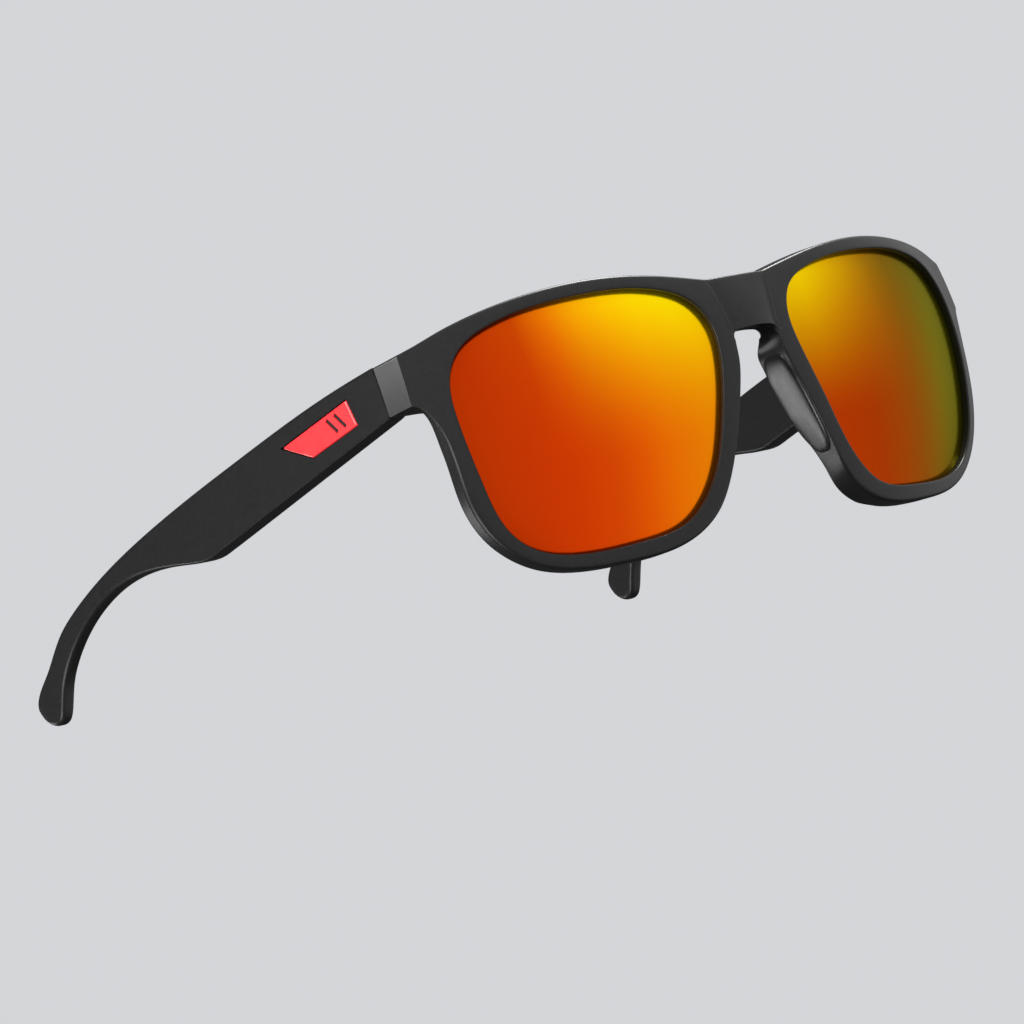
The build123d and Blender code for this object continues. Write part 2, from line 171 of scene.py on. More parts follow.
# ---- temples ----
SPLAY = radians(3.2)
TEMPLE_OUT = 72.3
TEMPLE_IN = 67.82
TEMPLE_THIN = 1.3      # how much thinner the ear end is, taken off the inner face
THIN_FROM, THIN_TO = 88.0, 160.0
TEMPLE_TOP = [
    (18.0, 19.2), (36.0, 17.2), (72.0, 11.1), (99.0, 5.8), (121.0, 0.4), (133.0, -3.6),
    (140.0, -6.5), (145.8, -9.6), (150.0, -12.9), (154.5, -16.8), (159.6, -20.9), (160.9, -23.4),
    (160.1, -25.2),
]
TEMPLE_UNDER = [
    (91.0, -5.5), (95.5, -5.0), (103.0, -4.2), (112.0, -3.9), (121.0, -4.9), (130.0, -7.5),
    (138.5, -11.7), (144.7, -16.3), (149.0, -21.2), (151.4, -25.8), (153.1, -27.9), (155.2, -28.3),
    (158.4, -27.0), (160.1, -25.2),
]
TEMPLE_BEND = (87.0, -5.5)
TEMPLE_CORNER = (83.5, -4.85)
TEMPLE_FOOT = (18.0, 8.8)
TEMPLE_SPLIT = 90.0    # where the stations change from the deep part to the ear end
TEMPLE_START = 22.0    # the first station behind the parting
TEMPLE_HIGH, TEMPLE_LOW = 18.72, 8.28   # the front end's upper and lower edges
TEMPLE_CHAMFER = 0.22
CHAMFER_LENGTH = (0.2, 0)
TIP_ROUND = 5.0        # length over which the tip thins out
TIP_LEFT = 0.15        # which would end this much past the last section
EAR_FROM, EAR_RUN = 80.0, 40.0
# The section's edges, from the outer upper one: (radius, how much rounder at the ear, points after).
TEMPLE_EDGES = [(0.75, 0.6, 8), (0.4, 0.8, 4), (0.7, 0.5, 8), (0.7, 0.5, 4)]

# ---- badge ----
BADGE = [(55.1, 10.3), (32.0, 14.7), (30.3, 9.4), (46.2, 6.5)]
BADGE_DEPTH = 0.8
BADGE_PROUD = 0.15
BADGE_GAP = 0.18
BADGE_BEVEL = 0.35
BADGE_CORNER = 0.2
MARKS = [((33.6, 9.9), (36.4, 12.9)), ((36.4, 9.5), (39.2, 12.4))]   # middle lines of the slots
MARK_HALF = 0.45
MARK_DEPTH = 0.3

joints = {j["name"]: j for j in frame["record"]["behaviour"]["joints"]}
SHIFT = np.array(joints["left_temple_fold"]["pos_m"]) * 1000 - np.array(HINGE)


# ======== points and curves ========

def to_row(points):
    return (np.asarray(points, float) + SHIFT) / 1000


def unit(v):
    size = np.linalg.norm(v)
    return v / size if size > 1e-9 else v * 0


def distance(p, q):
    return np.linalg.norm(np.asarray(p) - np.asarray(q))


def ease(x):
    x = np.clip(x, 0, 1)
    return x * x * (3 - 2 * x)


def second_derivatives(p, knots, closed):
    """A cubic spline's second derivatives at its knots: natural ends, or one closed loop."""
    n = len(p)
    h = np.diff(knots)
    slope = np.diff(p, axis=0) / h[:, None]
    system = np.eye(n)
    right = np.zeros_like(p)
    for i in range(1, n - 1):
        system[i, i - 1:i + 2] = h[i - 1], 2 * (h[i - 1] + h[i]), h[i]
        right[i] = 6 * (slope[i] - slope[i - 1])
    if closed:
        system[0, -1] = -1
        system[-1] = 0
        system[-1, [0, 1, -2]] = 2 * (h[0] + h[-1]), h[0], h[-1]
        right[-1] = 6 * (slope[0] - slope[-1])
    return np.linalg.solve(system, right)


def evenly(points, count):
    """That many points, evenly spaced along a run of points."""
    points = np.asarray(points, float)
    along = np.concatenate([[0], np.cumsum(np.linalg.norm(np.diff(points, axis=0), axis=1))])
    wanted = np.linspace(0, along[-1], count)
    return np.stack([np.interp(wanted, along, column) for column in points.T], axis=1)


def curve(points, count, closed=False):
    """Evenly spaced points on a smooth curve through the given ones."""
    p = np.array(list(points) + list(points[:1]) if closed else points, float)
    knots = np.concatenate([[0], np.cumsum(np.linalg.norm(np.diff(p, axis=0), axis=1))])
    bend = second_derivatives(p, knots, closed)
    dense = []
    for i in range(len(p) - 1):
        h = knots[i + 1] - knots[i]
        for b in np.linspace(0, 1, 40, endpoint=i == len(p) - 2):
            a = 1 - b
            pull = ((a ** 3 - a) * bend[i] + (b ** 3 - b) * bend[i + 1]) * h * h / 6
            dense.append(a * p[i] + b * p[i + 1] + pull)
    return evenly(dense, count)


FILLET_SHARE = 0.48    # the most that a round takes of either run


def fillet(before, corner, after, radius, steps):
    """The round between two straight runs that meet at a corner, as steps + 1 points."""
    before, corner, after = (np.asarray(q, float) for q in (before, corner, after))
    one, two = unit(before - corner), unit(after - corner)
    half = np.arccos(np.clip(one @ two, -1, 1)) / 2
    reach = radius / tan(half) if half > 1e-3 else 0
    reach = min(reach, FILLET_SHARE * distance(before, corner), FILLET_SHARE * distance(after, corner))
    start, end = corner + one * reach, corner + two * reach
    arc = []
    for t in np.linspace(0, 1, steps + 1):
        parts = (1 - t) ** 2, 2 * sin(half) * t * (1 - t), t * t
        arc.append((parts[0] * start + parts[1] * corner + parts[2] * end) / sum(parts))
    return arc


def between(start, end, steps):
    """Points inside a straight run, without its two ends."""
    return [start + (end - start) * k / steps for k in range(1, steps)]


def on_wrap(u, v, off):
    """The point at (u, v) along the lens axis, off in front of the lens front's surface. Past the
    sphere's foremost line, towards the nose, the surface goes on straight across."""
    across, axis = np.array([cos(WRAP), sin(WRAP), 0]), np.array([sin(WRAP), -cos(WRAP), 0])
    centre_x, centre_y = LENS_X - BASE_R * sin(WRAP), BASE_R * cos(WRAP)
    r = BASE_R + off
    t = np.sqrt(r * r - u * u - v * v) - BASE_R
    if LENS_X + u * cos(WRAP) + t * sin(WRAP) < centre_x:
        y = centre_y - np.sqrt(r * r - v * v)
        t = (u * sin(WRAP) - y) / cos(WRAP)
    return np.array([LENS_X, 0, 0]) + u * across + v * np.array([0, 0, 1.0]) + t * axis


def on_parting(x, z):
    """A point of the leaning plane where the front and the temple part."""
    return np.array([x, HINGE[1] + (z - PARTING_Z) * tan(PARTING_LEAN), z])


# ======== meshes ========

MERGE = 0.002          # mm between points that become one


def make_object(name, bm, slots=()):
    """A mesh object from a bmesh drawn in millimetres, with its materials."""
    bmesh.ops.remove_doubles(bm, verts=bm.verts, dist=MERGE)
    bmesh.ops.dissolve_degenerate(bm, edges=bm.edges, dist=1e-4)
    bmesh.ops.recalc_face_normals(bm, faces=bm.faces)
    for v in bm.verts:
        v.co = Vector(to_row(v.co[:]))
    mesh = bpy.data.meshes.new(name)
    bm.to_mesh(mesh)
    bm.free()
    obj = bpy.data.objects.new(name, mesh)
    bpy.context.scene.collection.objects.link(obj)
    for m in slots:
        mesh.materials.append(m)
    return obj


def polish(obj, angle=38):
    """Smooth shading that keeps creases, with normals that follow the larger faces."""
    obj.data.polygons.foreach_set("use_smooth", [True] * len(obj.data.polygons))
    obj.data.set_sharp_from_angle(angle=radians(angle))
    weighted = obj.modifiers.new("weighted_normals", "WEIGHTED_NORMAL")
    weighted.keep_sharp = True
    weighted.weight = 80


def add_grid(bm, rows, keep=lambda i, j: True, closed_rows=False, closed_columns=False):
    """Faces over rows of points. keep says which cells are made."""
    verts = [[bm.verts.new(p) for p in row] for row in rows]
    n, m = len(rows), len(rows[0])
    for i in range(n if closed_rows else n - 1):
        for j in range(m if closed_columns else m - 1):
            if keep(i, j):
                after, beside = (i + 1) % n, (j + 1) % m
                bm.faces.new([verts[i][j], verts[i][beside], verts[after][beside], verts[after][j]])
    return verts


def add_fan(bm, middle, ring):
    """Triangles from a middle point to a closed ring of vertices."""
    centre = bm.verts.new(middle)
    for j in range(len(ring)):
        bm.faces.new([centre, ring[j], ring[(j + 1) % len(ring)]])


def cut(obj, cutters, solver="EXACT"):
    """Takes the cutters away from obj, for good. FAST is for a mesh that crosses itself."""
    for tool in cutters:
        boolean = obj.modifiers.new("cut", "BOOLEAN")
        boolean.operation = "DIFFERENCE"
        boolean.solver = solver
        boolean.object = tool
    shaped = bpy.data.meshes.new_from_object(obj.evaluated_get(bpy.context.evaluated_depsgraph_get()))
    obj.modifiers.clear()
    obj.data = shaped
    for tool in cutters:
        bpy.data.objects.remove(tool)


def prism(name, outline, low, high):
    """A closed prism: outline is 3D points, run from low to high, two vectors."""
    bm = bmesh.new()
    rows = [[np.asarray(p) + low for p in outline], [np.asarray(p) + high for p in outline]]
    verts = add_grid(bm, rows, closed_columns=True)
    bm.faces.new(verts[0])
    bm.faces.new(verts[1])
    return make_object(name, bm)


def upright_cylinder(name, x, y, radius, low, high):
    angles = np.linspace(0, 2 * pi, CYLINDER_STEPS, endpoint=False)
    circle = [(x + radius * cos(a), y + radius * sin(a), 0) for a in angles]
    return prism(name, circle, np.array([0, 0, low]), np.array([0, 0, high]))


def box_between(name, low, high):
    outline = [(low[0], low[1], 0), (high[0], low[1], 0), (high[0], high[1], 0), (low[0], high[1], 0)]
    return prism(name, outline, np.array([0, 0, low[2]]), np.array([0, 0, high[2]]))


def mirrored(points):
    return np.asarray(points, float) * np.array([-1, 1, 1])


# ======== front frame ========

CREASE_STEPS = 22
TOP_STEPS = 84
FACET_STEPS = 12
SIDE_STEPS = 200
CORNER_STEPS = 5
OPENING_STEPS = 900
LOOK = 4               # a corner's round is aimed by the stations this many places away
ROUND_CLEAR = 0.2      # mm left free between a round and the next station
SIDE_FREE_U = 33.0     # the side's stations further in than this are all kept
CREASE_ENDS = 4        # stations over which the crease's edge sharpens at each end

# How many points each stretch of a rim section has: edge rounds, then the runs between.
INNER_ROUND, OUTER_ROUND, BACK_ROUND, END_ROUND, LIP_ROUND = 4, 7, 4, 2, 3
WALL_RUN, FACE_RUN, OUTSIDE_RUN, EXTRA_RUN, BACK_RUN = 2, 6, 4, 4, 4


def rim_stations():
    """The rim's outline as stations, from the low end of the crease, up it, over the top,
    down the facet, and round the side, and the index where each stretch starts."""
    crease = evenly([RIM_CREASE_LOW, RIM_TOP[0]], CREASE_STEPS + 1)[:-1]
    top = curve(RIM_TOP, TOP_STEPS)
    facet = evenly([RIM_TOP[-1], RIM_CORNER_LOW], FACET_STEPS)
    side = curve([RIM_CORNER_LOW] + RIM_SIDE + [RIM_CREASE_LOW], SIDE_STEPS)
    high_round = fillet(top[-LOOK], top[-1], facet[LOOK], OUTLINE_CORNER, CORNER_STEPS)
    low_round = fillet(facet[-LOOK], facet[-1], side[LOOK], OUTLINE_CORNER, CORNER_STEPS)
    facet_low, facet_high = low_round[0][1] + ROUND_CLEAR, high_round[-1][1] - ROUND_CLEAR
    side_high = low_round[-1][1] - ROUND_CLEAR / 2
    top = [p for p in top if p[0] < high_round[0][0] - ROUND_CLEAR]
    facet = [p for p in facet if facet_low < p[1] < facet_high]
    side = [p for p in side[:-1] if p[1] < side_high or p[0] < SIDE_FREE_U]
    stretches = {
        "crease": list(crease), "top": top, "high_round": high_round,
        "facet": facet, "low_round": low_round, "side": side,
    }
    starts, stations = {}, []
    for stretch, points in stretches.items():
        starts[stretch] = len(stations)
        stations += points
    return np.array(stations), starts


def inner_points(outer):
    """The point of the lens opening in the same direction as each outline point."""
    opening = curve(LENS_OPENING, OPENING_STEPS, closed=True)
    angle = np.arctan2(opening[:, 1], opening[:, 0])
    order = np.argsort(angle)
    wanted = np.arctan2(outer[:, 1], outer[:, 0])
    return np.stack([
        np.interp(wanted, angle[order], opening[order, k], period=2 * pi) for k in (0, 1)
    ], axis=1)


def edge_radius(outer, starts, i):
    """How round the rim's outer front edge is: crisp on top, broad at the side and below."""
    u, v = outer[i]
    if i < starts["top"]:
        ends = min(i, starts["top"] - i) / CREASE_ENDS
        return CREASE_EDGE + (TOP_EDGE - CREASE_EDGE) * (1 - ease(ends))
    if i < starts["high_round"]:
        return TOP_EDGE
    if i < starts["side"]:
        return FACET_EDGE
    below = ease((SIDE_EDGE_Z - v) / SIDE_EDGE_RUN)
    nasal = ease((v - SUPPORT_LOW) / NASAL_EDGE_RUN) if u < 0 else 0
    return (FACET_EDGE + (SIDE_EDGE - FACET_EDGE) * below) * (1 - nasal) + NASAL_EDGE * nasal


def end_paths(outer, starts):
    """The end piece's first and last stations, and for each station of it the rear outer edge
    and the rear inner edge."""
    top_u = outer[starts["top"]:starts["high_round"], 0]
    first = starts["top"] + int(np.argmax(top_u > END_FIRST_U))
    side = outer[starts["side"]:starts["side"] + END_SEARCH]
    last = starts["side"] + int(np.argmin(np.linalg.norm(side - END_LAST, axis=1)))
    r = OUTLINE_CORNER
    top_corner, low_corner = np.array([END_OUT, END_TOP]), np.array([END_OUT, END_BOTTOM])
    high = fillet((END_IN, END_TOP), top_corner, low_corner, r, CORNER_STEPS)
    low = fillet(top_corner, low_corner, (END_IN, END_BOTTOM), r, CORNER_STEPS)
    n_top, n_facet = starts["high_round"] - first, starts["low_round"] - starts["facet"]
    n_low = last - starts["side"] + 1
    path = list(evenly([(END_IN, END_TOP), high[0]], n_top + 1)[:-1]) + high
    path += list(evenly([high[-1], low[0]], n_facet + 2)[1:-1]) + low
    path += list(evenly([low[-1], (END_IN, END_BOTTOM)], n_low + 1)[1:])
    rear_out = [on_parting(x, z) for x, z in path]
    rear_in = [on_parting(END_IN, z) for z in np.linspace(END_TOP, END_BOTTOM, len(path))]
    return first, last, rear_out, rear_in


def pad_x(z):
    """How far out the nose pad's front edge is at height z."""
    edge = np.array(PAD_EDGE)[::-1]
    slope = (edge[1] - edge[0]) / (edge[1, 1] - edge[0, 1])
    if z < edge[0, 1]:
        return edge[0, 0] + slope[0] * (z - edge[0, 1])
    return np.interp(z, edge[:, 1], edge[:, 0])


def outer_bend(a, b, rear):
    """Where the outer wall, drawn from a back to rear, has got as deep as the rim is at b."""
    share = np.clip(distance(b, a) / distance(rear, a), 0.3, 0.9)
    return a + share * (rear - a)


def end_back(bends, s):
    """The inner end of the end piece's back, a share s of the way round it."""
    high, low = bends
    height = high[2] + (low[2] - high[2]) * s
    f = on_wrap(END_BACK_U, height, RIM_BACK)
    f = f + ease(1 - s * END_EASE) * (high - f)
    return f + ease(1 - (1 - s) * END_EASE) * (low - f)


def support_corners(a, b, station, out, width):
    """The nose support at one station: its share of full depth, where the outer wall bends into
    it, and its rear corners."""
    v = station[1]
    shoulder = sin(pi / 2 * np.clip((SUPPORT_TOP - v) / SUPPORT_SHOULDER, 0, 1))
    weight = shoulder * ease((v - SUPPORT_LOW) / SUPPORT_TAIL)
    depth = PAD_DEPTH - SUPPORT_SHORT
    full = np.array([pad_x(v) + depth * tan(PAD_FLARE) + PAD_SKIN, PAD_FRONT + depth, v])
    e = b + (full - b) * weight
    bend = a + (e - a) * (1 - SUPPORT_BEND * weight)
    g = e + np.array([SUPPORT_T * weight, -SUPPORT_SLOPE * weight, 0])
    reach = min(SPREAD_LEAST + SUPPORT_SPREAD * weight, SPREAD_MOST) * min(1, width / SPREAD_WIDTH)
    f = on_wrap(*(station - out * reach), RIM_BACK)
    return weight, bend, (e, g, f)


def rim_sections():
    """Every cross-section of the rim, as rows of points, and what is needed to join them."""
    outer, starts = rim_stations()
    inner = inner_points(outer)
    first, last, rear_out, rear_in = end_paths(outer, starts)
    front = np.array([on_wrap(u, v, RIM_PROUD) for u, v in outer])
    back = np.array([on_wrap(u, v, RIM_BACK) for u, v in outer])
    bends = [outer_bend(front[i], back[i], rear_out[i - first]) for i in (first, last)]
    rows, nasal_rows, walls = [], [], []
    for i in range(len(outer)):
        u, v = outer[i]
        out, width = unit(outer[i] - inner[i]), distance(outer[i], inner[i])
        a, b = front[i], back[i]
        back_radius, rear_edge, rear = BACK_EDGE, SUPPORT_EDGE, None
        if first <= i <= last:
            e, g = rear_out[i - first], rear_in[i - first]
            b = outer_bend(a, b, e)
            rear = (e, g, end_back(bends, (i - first) / (last - first)))
            back_radius, rear_edge = 0, REAR_EDGE
        elif starts["top"] < i < first or last < i < last + NEAR_END_LOW + 2:
            near = bends[0] - back[first] if i < first else bends[1] - back[last]
            above, below = (u - NEAR_END_U) / (END_FIRST_U - NEAR_END_U), 1 - (i - last) / NEAR_END_LOW
            weight = ease(above if i < first else below)
            b = b + near * weight
            back_radius = BACK_EDGE * (1 - weight)
        elif u < 0 and i > starts["side"] and SUPPORT_LOW - SUPPORT_FADE_LOW < v < SUPPORT_TOP + 1:
            ends = ease((v - SUPPORT_TOP) / SUPPORT_FADE_TOP), ease((SUPPORT_LOW - v) / SUPPORT_FADE_LOW)
            back_radius = BACK_EDGE * max(ends)
            weight, bend, corners = support_corners(a, b, outer[i], out, width)
            if weight > SUPPORT_LEAST:
                b, back_radius, rear = bend, 0, corners
                nasal_rows.append(i)
                walls.append((a, corners[0]))
        edges = edge_radius(outer, starts, i), back_radius, rear_edge
        rows.append(section(a, b, inner[i], out, width, edges, rear))
    return rows, starts, first, last, nasal_rows, np.array(walls)


def front_face(start, stop, out, width):
    """Points of the rim's front face between its two rounded edges, bulged slightly."""
    along = [out[1] * cos(WRAP), out[1] * sin(WRAP), -out[0]]
    lift = unit(np.cross(stop - start, along))
    lift = lift if lift[1] < 0 else -lift
    crown = FACE_CROWN * min(1.0, width / FACE_CROWN_WIDTH)
    face = between(start, stop, FACE_RUN)
    return [p + lift * crown * sin(pi * k / FACE_RUN) for k, p in enumerate(face, 1)]


def rear_part(stop, rear, rear_edge):
    """Points round the rear corners e and g to the inner end f, or at one place if none."""
    e, g, f = rear if rear else (stop, stop, stop)
    rear_round = fillet(stop, e, g, rear_edge, END_ROUND)
    rear_turn = fillet(e, g, f, rear_edge, END_ROUND)
    points = between(stop, rear_round[0], EXTRA_RUN) + rear_round
    points += between(rear_round[-1], rear_turn[0], EXTRA_RUN) + rear_turn
    return points + between(rear_turn[-1], f, EXTRA_RUN) + [f]


def section(a, b, inner, out, width, edges, rear):
    """One closed cross-section: groove, inner wall, front face, outer wall, back face, lip."""
    radius, back_radius, rear_edge = edges
    groove = inner + GROOVE * out
    deep_front = on_wrap(*groove, GROOVE_GAP)
    shallow_front = on_wrap(*inner, GROOVE_GAP)
    deep_back = on_wrap(*groove, -LENS_T - GROOVE_GAP)
    shallow_back = on_wrap(*inner, -LENS_T - GROOVE_GAP)
    brow = on_wrap(*inner, RIM_PROUD - INNER_SET_BACK)
    lip = on_wrap(*inner, RIM_BACK)
    face_point = on_wrap(*(inner + out * width * 0.5), RIM_PROUD)
    inner_round = fillet(shallow_front, brow, face_point, INNER_EDGE, INNER_ROUND)
    outer_round = fillet(face_point, a, b, radius, OUTER_ROUND)
    back_round = fillet(a, b, lip, back_radius, BACK_ROUND)
    points = [deep_front, shallow_front]
    points += between(shallow_front, inner_round[0], WALL_RUN) + inner_round
    points += front_face(inner_round[-1], outer_round[0], out, width) + outer_round
    points += between(outer_round[-1], back_round[0], OUTSIDE_RUN) + back_round
    points += rear_part(back_round[-1], rear, rear_edge)
    f = points[-1]
    lip_round = fillet(f, lip, shallow_back, LIP_EDGE, LIP_ROUND)
    points += between(f, lip_round[0], BACK_RUN) + lip_round
    points += [shallow_back, deep_back]
    return points + between(deep_back, deep_front, 2)


FACE_END = 2 + (WALL_RUN - 1) + (INNER_ROUND + 1) + (FACE_RUN - 1)
BACK_END = FACE_END + (OUTER_ROUND + 1) + (OUTSIDE_RUN - 1) + BACK_ROUND
REAR_END = BACK_END + 3 * EXTRA_RUN - 2 + 2 * (END_ROUND + 1)


def bridge_loop(rows, starts):
    """The crease's closed outline: front edge up, over the top, rear edge down, under."""
    top = starts["top"]
    loop = [rows[i][FACE_END] for i in range(top)]
    loop += [rows[top][j] for j in range(FACE_END, BACK_END + 1)]
    loop += [rows[i][REAR_END] for i in range(top - 1, 0, -1)]
    loop += [rows[0][j] for j in range(BACK_END, FACE_END, -1)]
    return np.array(loop)


def bridge_rows(rows, starts):
    """Sections of the bridge, from the crease on the wearer's left to the one on the right."""
    loop = bridge_loop(rows, starts)
    front_y = loop[:, 1].min()
    depth = BULGE_REACH * (loop[:, 1].max() - front_y)
    forward = np.clip(1 - (loop[:, 1] - front_y) / depth, 0, 1)
    low_z, top_z = loop[:, 2].min(), loop[:, 2].max()
    across = 1 - np.cos(np.linspace(0, pi, BRIDGE_STEPS))
    sections = []
    for t in 1 - across:
        from_crease = (1 - abs(t)) * loop[:, 0]
        points = loop.copy()
        points[:, 0] *= t
        dip = CREASE_DEPTH * (1 - np.exp(-(from_crease / CREASE_SCALE) ** CREASE_SHAPE))
        bulge = (CREASE_DEPTH + BRIDGE_BULGE) * (1 - t * t) ** BULGE_SHAPE
        points[:, 1] += forward * (dip - bulge)
        span = min((1 - abs(t)) * loop[:, 0].min(), ARCH_CORNER) / ARCH_CORNER
        rise = (BRIDGE_APEX - ARCH_RISE - low_z) * np.sqrt(1 - (1 - span) ** 2) + ARCH_RISE * (1 - t * t)
        points[:, 2] = top_z - (top_z - points[:, 2]) * (top_z - low_z - rise) / (top_z - low_z)
        sections.append(points)
    return sections


def front_mesh(sections):
    """Both rims and the bridge between them. A section's rear part is left out where it is bare."""
    rows, starts, first, last, nasal_rows, _ = sections
    nasal = set(nasal_rows)

    def keep(i, j):
        in_crease = i < starts["top"]
        if in_crease and FACE_END <= j < REAR_END:
            return False
        if BACK_END <= j < REAR_END:
            return first <= i < last or i in nasal or i + 1 in nasal
        return True

    bm = bmesh.new()
    add_grid(bm, rows, keep, closed_rows=True, closed_columns=True)
    add_grid(bm, [mirrored(r) for r in rows], keep, closed_rows=True, closed_columns=True)
    add_grid(bm, bridge_rows(rows, starts), closed_columns=True)
    return bm


def hinge_cutters():
    cutters = []
    for side, name in ((1, "left"), (-1, "right")):
        at = side * HINGE[0], HINGE[1]
        cutters.append(upright_cylinder("notch_" + name, *at, NOTCH_R, CUT_LOW, CUT_HIGH))
        xs = sorted([side * STEP_IN, side * STEP_OUT])
        low, high = (xs[0], STEP_Y, CUT_LOW), (xs[1], STEP_BACK, CUT_HIGH)
        cutters.append(box_between("step_" + name, low, high))
    return cutters


def build_front(plastic, sections):
    obj = make_object("front", front_mesh(sections), [plastic])
    cut(obj, hinge_cutters(), "FAST")
    polish(obj)
    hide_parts("front_frame")
    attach(obj, "front")


# ======== lenses ========

LENS_STEPS = 160
LENS_RINGS = 18
LENS_FIRST_RING = 0.06   # the smallest ring's share of the lens


def build_lens(side, name, coat, smoke):
    edge = curve(LENS_OPENING, LENS_STEPS + 1, closed=True)[:-1]
    along = np.roll(edge, -1, axis=0) - np.roll(edge, 1, axis=0)
    away = np.stack([along[:, 1], -along[:, 0]], axis=1)
    away /= np.linalg.norm(away, axis=1)[:, None]
    away *= np.sign((away * edge).sum(axis=1))[:, None]
    edge = edge + LENS_LAP * away
    bm = bmesh.new()
    for off in (0.0, -LENS_T):
        rings = []
        for share in np.linspace(LENS_FIRST_RING, 1.0, LENS_RINGS):
            rings.append([on_wrap(u * share, v * share, off) * (side, 1, 1) for u, v in edge])
        verts = add_grid(bm, rings, closed_columns=True)
        add_fan(bm, on_wrap(0, 0, off) * (side, 1, 1), verts[0])
    walls = [[on_wrap(u, v, off) * (side, 1, 1) for u, v in edge] for off in (0.0, -LENS_T)]
    add_grid(bm, walls, closed_columns=True)
    obj = make_object("lens_shell_" + name, bm, [coat, smoke])
    for face in obj.data.polygons:
        face.material_index = 0 if face.normal.y < -0.3 else 1
    polish(obj)
    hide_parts("lens_" + name)
    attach(obj, "front")


# ======== nose pads ========

def pad_walls(walls):
    """The part of the nose supports that the pads cover, as two matching runs of points."""
    kept = np.array([w for w in walls if PAD_LOW < w[0][2] < PAD_TOP])
    fronts = kept[:, 0] + (kept[:, 1] - kept[:, 0]) * 0.02
    return evenly(fronts, PAD_ROWS), evenly(kept[:, 1], PAD_ROWS)


def pad_point(runs, across, along, proud):
    """A point of the pad: across its depth and along its height, from -1 to 1 each."""
    fronts, rears = runs
    place = (along + 1) / 2 * (len(fronts) - 1)
    low = min(int(place), len(fronts) - 2)
    share = place - low
    front = fronts[low] + (fronts[low + 1] - fronts[low]) * share
    rear = rears[low] + (rears[low + 1] - rears[low]) * share
    out = unit(np.cross(rear - front, fronts[low + 1] - fronts[low]))
    out = out if out[0] < 0 else -out
    return front + (rear - front) * (across + 1) / 2 + out * proud


def build_pad(side, name, rubber, runs):
    bm = bmesh.new()
    rings = []
    for reach, proud in PAD_PROFILE:
        ring = []
        for angle in np.linspace(0, 2 * pi, PAD_STEPS, endpoint=False):
            c, s = cos(angle), sin(angle)
            across = np.sign(c) * abs(c) ** PAD_SQUARE * reach
            along = np.sign(s) * abs(s) ** PAD_SQUARE * reach
            ring.append(pad_point(runs, across, along, proud) * (side, 1, 1))
        rings.append(ring)
    verts = add_grid(bm, rings, closed_columns=True)
    for ring, proud in ((verts[0], PAD_PROFILE[0][1] + 0.01), (verts[-1], PAD_PROFILE[-1][1])):
        add_fan(bm, pad_point(runs, 0, 0, proud) * (side, 1, 1), ring)
    obj = make_object("pad_skin_" + name, bm, [rubber])
    polish(obj, 60)
    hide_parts("nose_pad_" + name)
    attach(obj, "front")


# ======== temples ========

TEMPLE_FINE = 600
FORE_STEPS, AFT_STEPS = 60, 110


def splayed(points):
    """Turned outwards about the hinge axis, as the temples stand when open."""
    points = np.asarray(points, float)
    x, y = points[..., 0] - HINGE[0], points[..., 1] - HINGE[1]
    turned = points.copy()
    turned[..., 0] = HINGE[0] + x * cos(SPLAY) + y * sin(SPLAY)
    turned[..., 1] = HINGE[1] - x * sin(SPLAY) + y * cos(SPLAY)
    return turned


def temple_section(top, bottom, inset=0.0, thin=1.0, ear=0.0):
    """A closed loop of points: outer face, under edge, inner face, top edge."""
    thinned = np.clip((top[0] - THIN_FROM) / (THIN_TO - THIN_FROM), 0, 1)
    inner = TEMPLE_IN + TEMPLE_THIN * thinned
    middle, half = (TEMPLE_OUT + inner) / 2, (TEMPLE_OUT - inner) / 2
    out = middle + (half - inset) * thin
    inn = middle - (half - inset) * thin
    down = unit(np.asarray(bottom, float) - top)
    top, bottom = top + down * inset, bottom - down * inset
    corners = [np.array(q) for q in ([out, *top], [out, *bottom], [inn, *bottom], [inn, *top])]
    radii = [plain + more * ear for plain, more, _ in TEMPLE_EDGES]
    loop = []
    for k in range(4):
        near, far = (k + 1) % 4, (k + 2) % 4
        next_start = fillet(corners[k], corners[near], corners[far], radii[near], 1)[0]
        arc = fillet(corners[k - 1], corners[k], corners[near], radii[k], 6)
        loop += arc + between(arc[-1], next_start, TEMPLE_EDGES[k][2])
    return np.array(loop)


def temple_stations():
    """Pairs of points along the upper and the lower edge of the temple, front to tip."""
    top = curve(TEMPLE_TOP, TEMPLE_FINE)
    split = int(np.argmin(abs(top[:, 0] - TEMPLE_SPLIT)))
    under = curve([TEMPLE_CORNER, TEMPLE_BEND] + TEMPLE_UNDER, TEMPLE_FINE)
    foot = evenly([TEMPLE_FOOT, TEMPLE_CORNER], FORE_STEPS)
    fore = list(zip(evenly(top[:split + 1], FORE_STEPS), foot))
    aft = list(zip(evenly(top[split:], AFT_STEPS), evenly(under, AFT_STEPS)))
    return fore + aft[1:]


def temple_front():
    """The two sections at the parting, the first one chamfered."""
    high, low = (
        np.array([on_parting(0, z)[1] + PARTING_GAP, z]) for z in (TEMPLE_HIGH, TEMPLE_LOW)
    )
    rows = [temple_section(high, low, inset=TEMPLE_CHAMFER)]
    rows.append(temple_section(high + CHAMFER_LENGTH, low + CHAMFER_LENGTH))
    for loop in rows:
        loop[:, 1] += (loop[:, 0] - HINGE[0]) * tan(SPLAY)
    return rows


